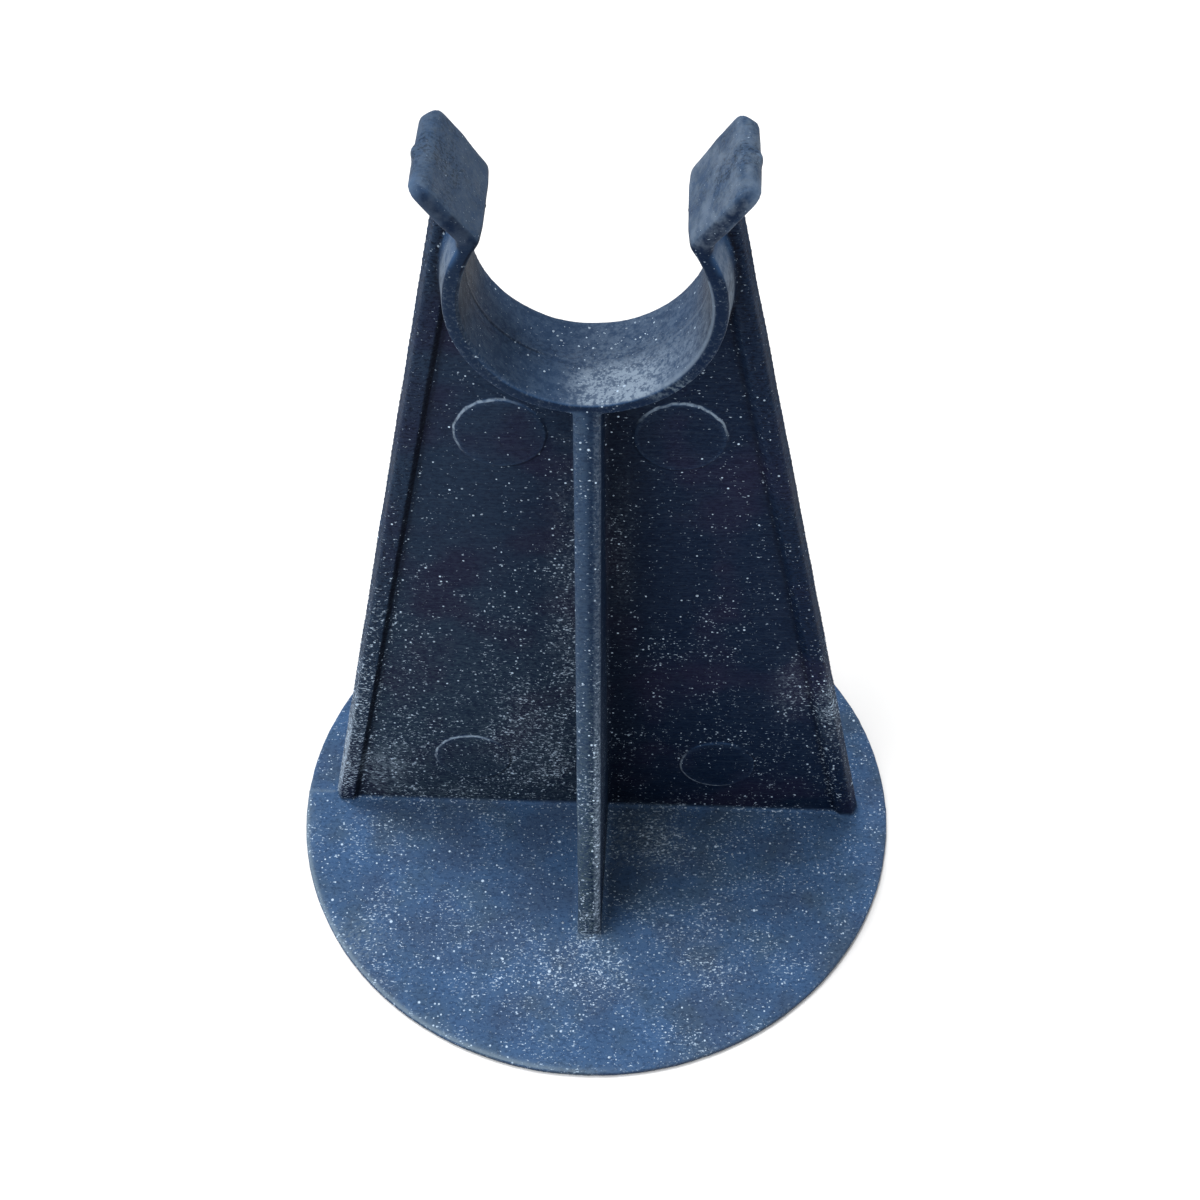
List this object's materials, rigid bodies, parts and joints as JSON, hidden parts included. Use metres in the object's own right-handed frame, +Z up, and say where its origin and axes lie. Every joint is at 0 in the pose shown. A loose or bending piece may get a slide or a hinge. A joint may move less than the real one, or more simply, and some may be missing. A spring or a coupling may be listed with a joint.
{
  "type": "rebar chair",
  "caption": "Moulded plastic chair with a round base plate, a tapered ribbed upright and an open snap-in seat that holds a round bar above the ground.",
  "frame": {"origin": "centre of the base plate's underside", "axes": "+Z up from the ground to the seat, +Y along the seated bar, +X across the upright plate"},
  "size_m": [0.107, 0.107, 0.1456],
  "materials": {
    "body": "satin moulded slate-blue plastic with pale site dust"
  },
  "bodies": {
    "root": {"chair": "body"}
  },
  "joints": []
}
